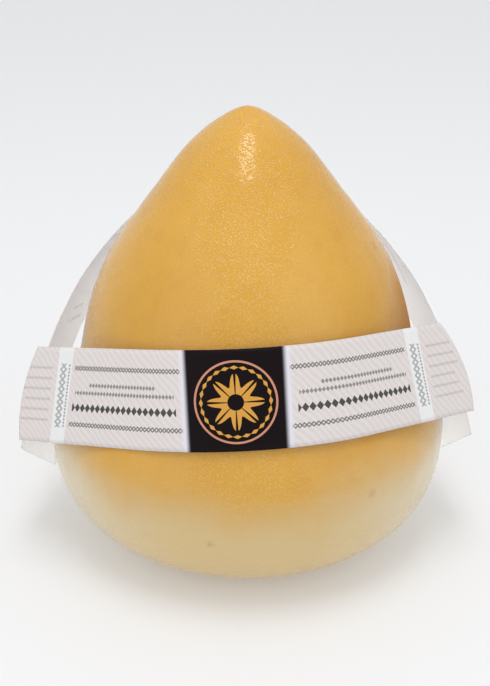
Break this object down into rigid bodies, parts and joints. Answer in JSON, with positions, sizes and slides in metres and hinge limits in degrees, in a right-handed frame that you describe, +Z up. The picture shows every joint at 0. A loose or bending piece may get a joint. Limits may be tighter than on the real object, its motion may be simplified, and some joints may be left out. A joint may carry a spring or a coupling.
{
  "type": "smoked cheese",
  "caption": "Whole smoked cow's milk cheese of pear shape with a pointed top, with a paper strip across its front and another over its back.",
  "frame": {"origin": "middle of the flat spot that the cheese rests on", "axes": "+Z up along the cheese's own axis to its tip, the front strip's middle towards -Y, +X to the right as seen from the front"},
  "size_m": [0.1403, 0.1256, 0.1366],
  "materials": {
    "rind": "satin",
    "paper": "matte"
  },
  "bodies": {
    "root": {"cheese": "rind", "front_label": "paper", "back_label": "paper"}
  },
  "joints": []
}
